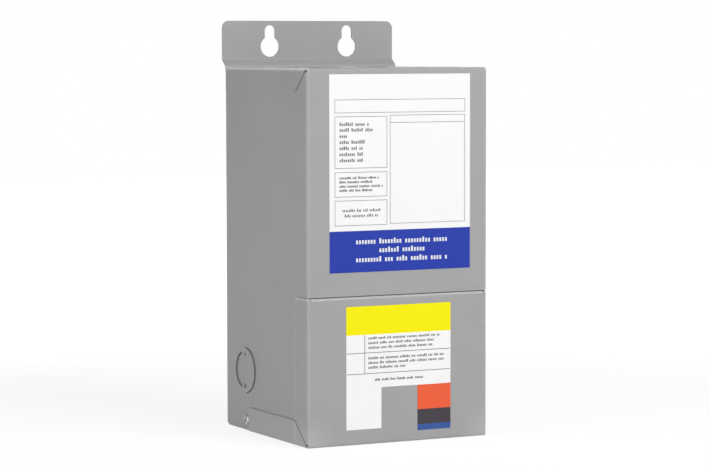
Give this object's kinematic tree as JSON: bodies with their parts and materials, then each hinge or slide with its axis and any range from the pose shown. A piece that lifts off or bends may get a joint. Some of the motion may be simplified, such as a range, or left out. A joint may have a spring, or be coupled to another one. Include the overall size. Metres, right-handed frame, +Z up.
{
  "type": "buck-boost transformer",
  "caption": "Small encapsulated buck-boost transformer in a wall-hung sheet steel box with a keyhole flange, conduit knockouts and a screwed lower cover.",
  "frame": {"origin": "bottom centre: on the floor plane, midway between the front and the wall face and midway across the width", "axes": "+Z up, -Y out of the labelled front, +Y towards the wall, +X to the right as seen from the front"},
  "size_m": [0.121, 0.1209, 0.2505],
  "materials": {
    "housing_paint": "smooth satin grey powder coat",
    "casting_resin": "matt dark casting resin",
    "screw_steel": "grey coated steel",
    "label_white": "smooth white vinyl label",
    "label_blue": "smooth blue printed vinyl",
    "label_yellow": "smooth yellow printed vinyl",
    "sticker_orange": "smooth orange-red printed vinyl",
    "sticker_dark": "smooth dark grey printed vinyl",
    "sticker_blue": "smooth blue printed vinyl"
  },
  "bodies": {
    "root": {"back_panel": "housing_paint", "left_side_panel": "housing_paint", "right_side_panel": "housing_paint", "upper_cover": "housing_paint", "lower_cover": "housing_paint", "encapsulated_core": "casting_resin", "left_knockout_ring": "housing_paint", "right_knockout_ring": "housing_paint", "left_knockout_disc": "housing_paint", "right_knockout_disc": "housing_paint", "left_cover_screw": "screw_steel", "right_cover_screw": "screw_steel", "nameplate_sheet": "label_white", "nameplate_band": "label_blue", "notice_header": "label_yellow", "notice_sheet": "label_white", "blank_tag": "label_white", "sticker_upper_field": "sticker_orange", "sticker_middle_field": "sticker_dark", "sticker_lower_field": "sticker_blue"}
  },
  "joints": []
}
